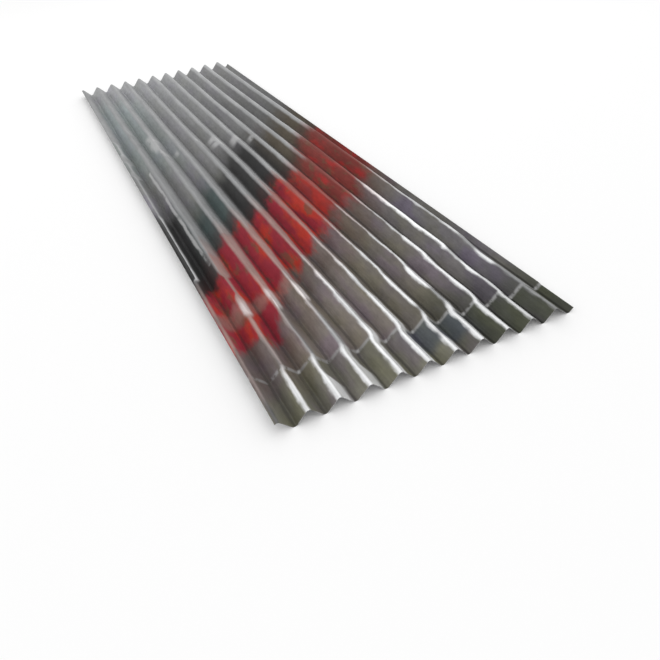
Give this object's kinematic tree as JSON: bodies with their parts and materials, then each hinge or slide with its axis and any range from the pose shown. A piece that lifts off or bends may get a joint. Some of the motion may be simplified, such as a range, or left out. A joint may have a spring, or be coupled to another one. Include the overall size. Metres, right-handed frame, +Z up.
{
  "type": "corrugated aluminium roofing sheet",
  "caption": "Long thin aluminium roofing sheet with deep, tightly bent corrugations along its length; one side edge ends on a crown, the other just past a valley.",
  "frame": {"origin": "on the floor under the middle of the sheet, at the level of its valley undersides", "axes": "+X across the corrugations from the crown edge to the valley edge, +Y along the corrugations, +Z up off the floor"},
  "size_m": [0.7296, 2.438, 0.03],
  "materials": {
    "mill_aluminium": "bright mill finish, lightly handled, with dull streaks and a faded red mark across it"
  },
  "bodies": {
    "root": {"roofing_sheet": "mill_aluminium"}
  },
  "joints": []
}
